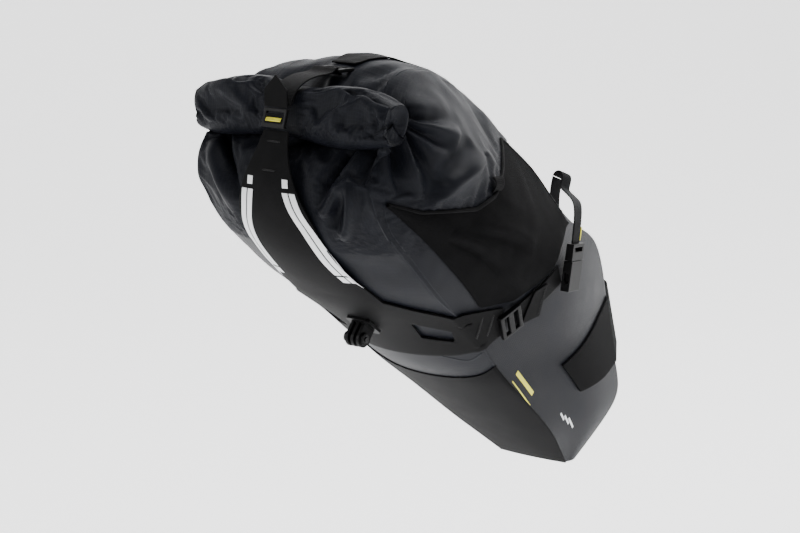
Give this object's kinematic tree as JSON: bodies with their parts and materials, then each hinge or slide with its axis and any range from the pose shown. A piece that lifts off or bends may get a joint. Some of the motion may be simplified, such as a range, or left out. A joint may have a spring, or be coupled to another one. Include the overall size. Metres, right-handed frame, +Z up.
{
  "type": "saddle bag",
  "caption": "Tapered roll-top bag that hangs behind a bicycle saddle, with a rear harness and closure strap, stretch side wings, buckled rail straps and a wrap-around seatpost strap.",
  "frame": {"origin": "on the axis of the seatpost, at the height where the seatpost strap wraps it", "axes": "+X to the front of the bicycle, +Y to its left, +Z up; the seatpost leans back by 16.5 degrees from +Z"},
  "size_m": [0.4929, 0.2372, 0.4045],
  "materials": {
    "shell_fabric": "matte",
    "stiffener_sheet": "matte",
    "smooth_coating": "satin",
    "harness_coating": "matte",
    "stretch_weave": "matte",
    "webbing": "matte",
    "grip_strap": "matte",
    "acetal": "satin",
    "black_alloy": "satin",
    "black_steel": "satin",
    "reflective": "satin",
    "yellow_thread": "matte",
    "black_thread": "matte"
  },
  "bodies": {
    "bag": {"accessory_mount": "acetal", "band_tacks": "black_thread", "front_panel": "shell_fabric", "harness_band": "harness_coating", "left_buckle_socket": "acetal", "left_lock_tab": "harness_coating", "left_post_arm": "grip_strap", "left_rail_anchor": "webbing", "left_side_panel": "shell_fabric", "left_side_webbing": "webbing", "left_wing": "stretch_weave", "left_wing_tab": "stretch_weave", "mount_nut": "black_steel", "nose_fold": "shell_fabric", "nose_stiffener": "stiffener_sheet", "rear_panel": "shell_fabric", "right_buckle_socket": "acetal", "right_lock_tab": "harness_coating", "right_post_arm": "grip_strap", "right_rail_anchor": "webbing", "right_side_panel": "shell_fabric", "right_side_webbing": "webbing", "right_wing": "stretch_weave", "right_wing_tab": "stretch_weave", "roll_closure": "shell_fabric", "roll_stiffener": "stiffener_sheet", "top_anchor": "harness_coating", "underside_patch": "smooth_coating"},
    "top_lock": {"top_ladder_lock": "acetal"},
    "closure": {"closure_strap": "webbing", "closure_hook": "black_alloy", "closure_bar_tack": "yellow_thread"},
    "pull_tab": {"pull_tab": "harness_coating"},
    "tail": {"harness_tail": "harness_coating", "reflective_strips": "reflective"},
    "right_lock": {"right_ladder_lock": "acetal"},
    "left_lock": {"left_ladder_lock": "acetal"},
    "right_plug": {"right_buckle_plug": "acetal", "right_rail_strap": "webbing", "right_rail_tag": "yellow_thread"},
    "left_plug": {"left_buckle_plug": "acetal", "left_rail_strap": "webbing", "left_rail_tag": "yellow_thread"},
    "right_flap": {"right_post_flap": "grip_strap"},
    "left_flap": {"left_post_flap": "grip_strap"},
    "bolt": {"mount_bolt": "black_steel"}
  },
  "joints": [
    {"name": "top_lock_tilt", "type": "hinge", "parent": "bag", "child": "top_lock", "pos_m": [-0.379, 0, 0.287], "axis": [0, 1, 0], "range_deg": [0, 60]},
    {"name": "closure_open", "type": "hinge", "parent": "top_lock", "child": "closure", "pos_m": [-0.4004, 0, 0.2882], "axis": [0, 1, 0], "range_deg": [0, 110]},
    {"name": "pull_tab_flip", "type": "hinge", "parent": "closure", "child": "pull_tab", "pos_m": [-0.4595, 0, 0.2637], "axis": [0, -1, 0], "range_deg": [0, 110]},
    {"name": "harness_tail_drop", "type": "hinge", "parent": "bag", "child": "tail", "pos_m": [-0.3988, 0, 0.0973], "axis": [0, -1, 0], "range_deg": [0, 90]},
    {"name": "right_lock_tilt", "type": "hinge", "parent": "bag", "child": "right_lock", "pos_m": [-0.27265, -0.08932, 0.05927], "axis": [0.5229, 0.2551, -0.8133], "range_deg": [0, 40]},
    {"name": "left_lock_tilt", "type": "hinge", "parent": "bag", "child": "left_lock", "pos_m": [-0.27265, 0.08932, 0.05927], "axis": [-0.5229, 0.2551, 0.8133], "range_deg": [0, 40]},
    {"name": "right_rail_buckle_release", "type": "slide", "parent": "bag", "child": "right_plug", "axis": [0.1128, -0.0628, 0.9916], "range_m": [0, 0.022]},
    {"name": "left_rail_buckle_release", "type": "slide", "parent": "bag", "child": "left_plug", "axis": [0.1128, 0.0628, 0.9916], "range_m": [0, 0.022]},
    {"name": "seatpost_strap_open", "type": "hinge", "parent": "bag", "child": "right_flap", "pos_m": [0.01265, -0.01589, -0.01294], "axis": [0.284, 0, -0.9588], "range_deg": [0, 95]},
    {"name": "seatpost_strap_under_open", "type": "hinge", "parent": "bag", "child": "left_flap", "pos_m": [0.01157, 0.01377, -0.01326], "axis": [-0.284, 0, 0.9588], "range_deg": [0, 57]},
    {"name": "mount_bolt_turn", "type": "hinge", "parent": "bag", "child": "bolt", "pos_m": [-0.35916, 0, 0.054], "axis": [0, 1, 0], "continuous": true}
  ],
  "couplings": [
    {"joint": "harness_tail_drop", "follows": "closure_open", "ratio": 0.8},
    {"joint": "seatpost_strap_under_open", "follows": "seatpost_strap_open", "ratio": 0.6}
  ]
}
